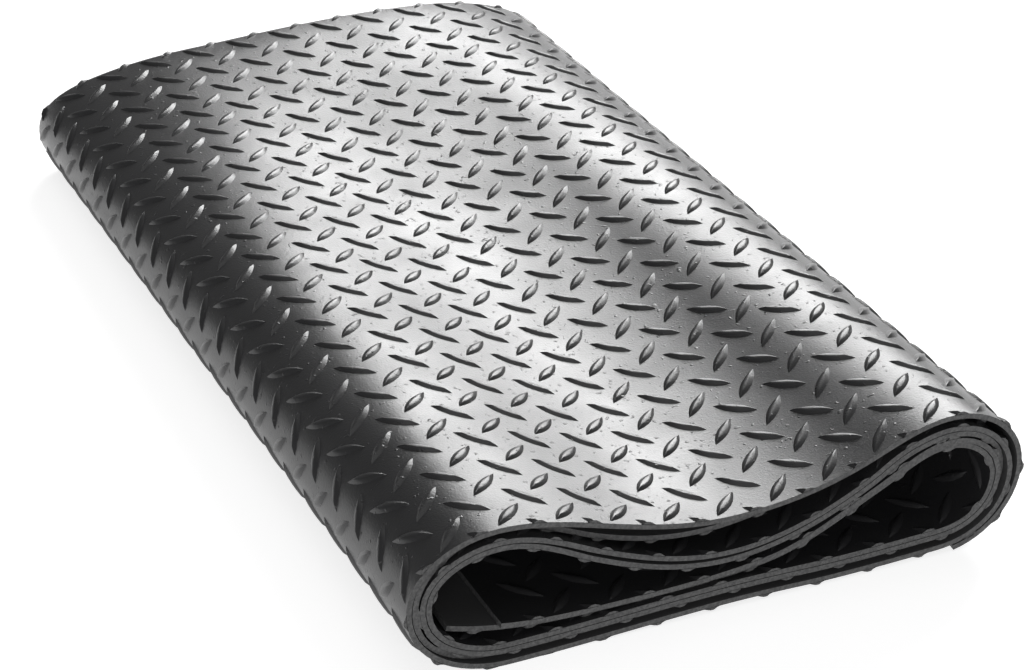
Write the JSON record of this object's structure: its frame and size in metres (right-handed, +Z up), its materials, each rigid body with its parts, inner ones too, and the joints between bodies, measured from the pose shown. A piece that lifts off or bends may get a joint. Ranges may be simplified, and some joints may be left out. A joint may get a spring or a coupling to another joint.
{
  "type": "rubber gym mat",
  "caption": "Black rubber floor mat with raised almond lugs, folded once along its length and rolled up flat, for storage or transport.",
  "frame": {"origin": "middle of the rolled mat's footprint, on the floor it lies on", "axes": "+Y along the roll towards its folded end, +Z up, +X across the roll towards its outer end"},
  "size_m": [0.34, 0.61, 0.0795],
  "materials": {
    "rubber": "black satin moulded rubber, smooth on the back, with matt grey cut edges"
  },
  "bodies": {
    "root": {"rubber_mat": "rubber"}
  },
  "joints": []
}
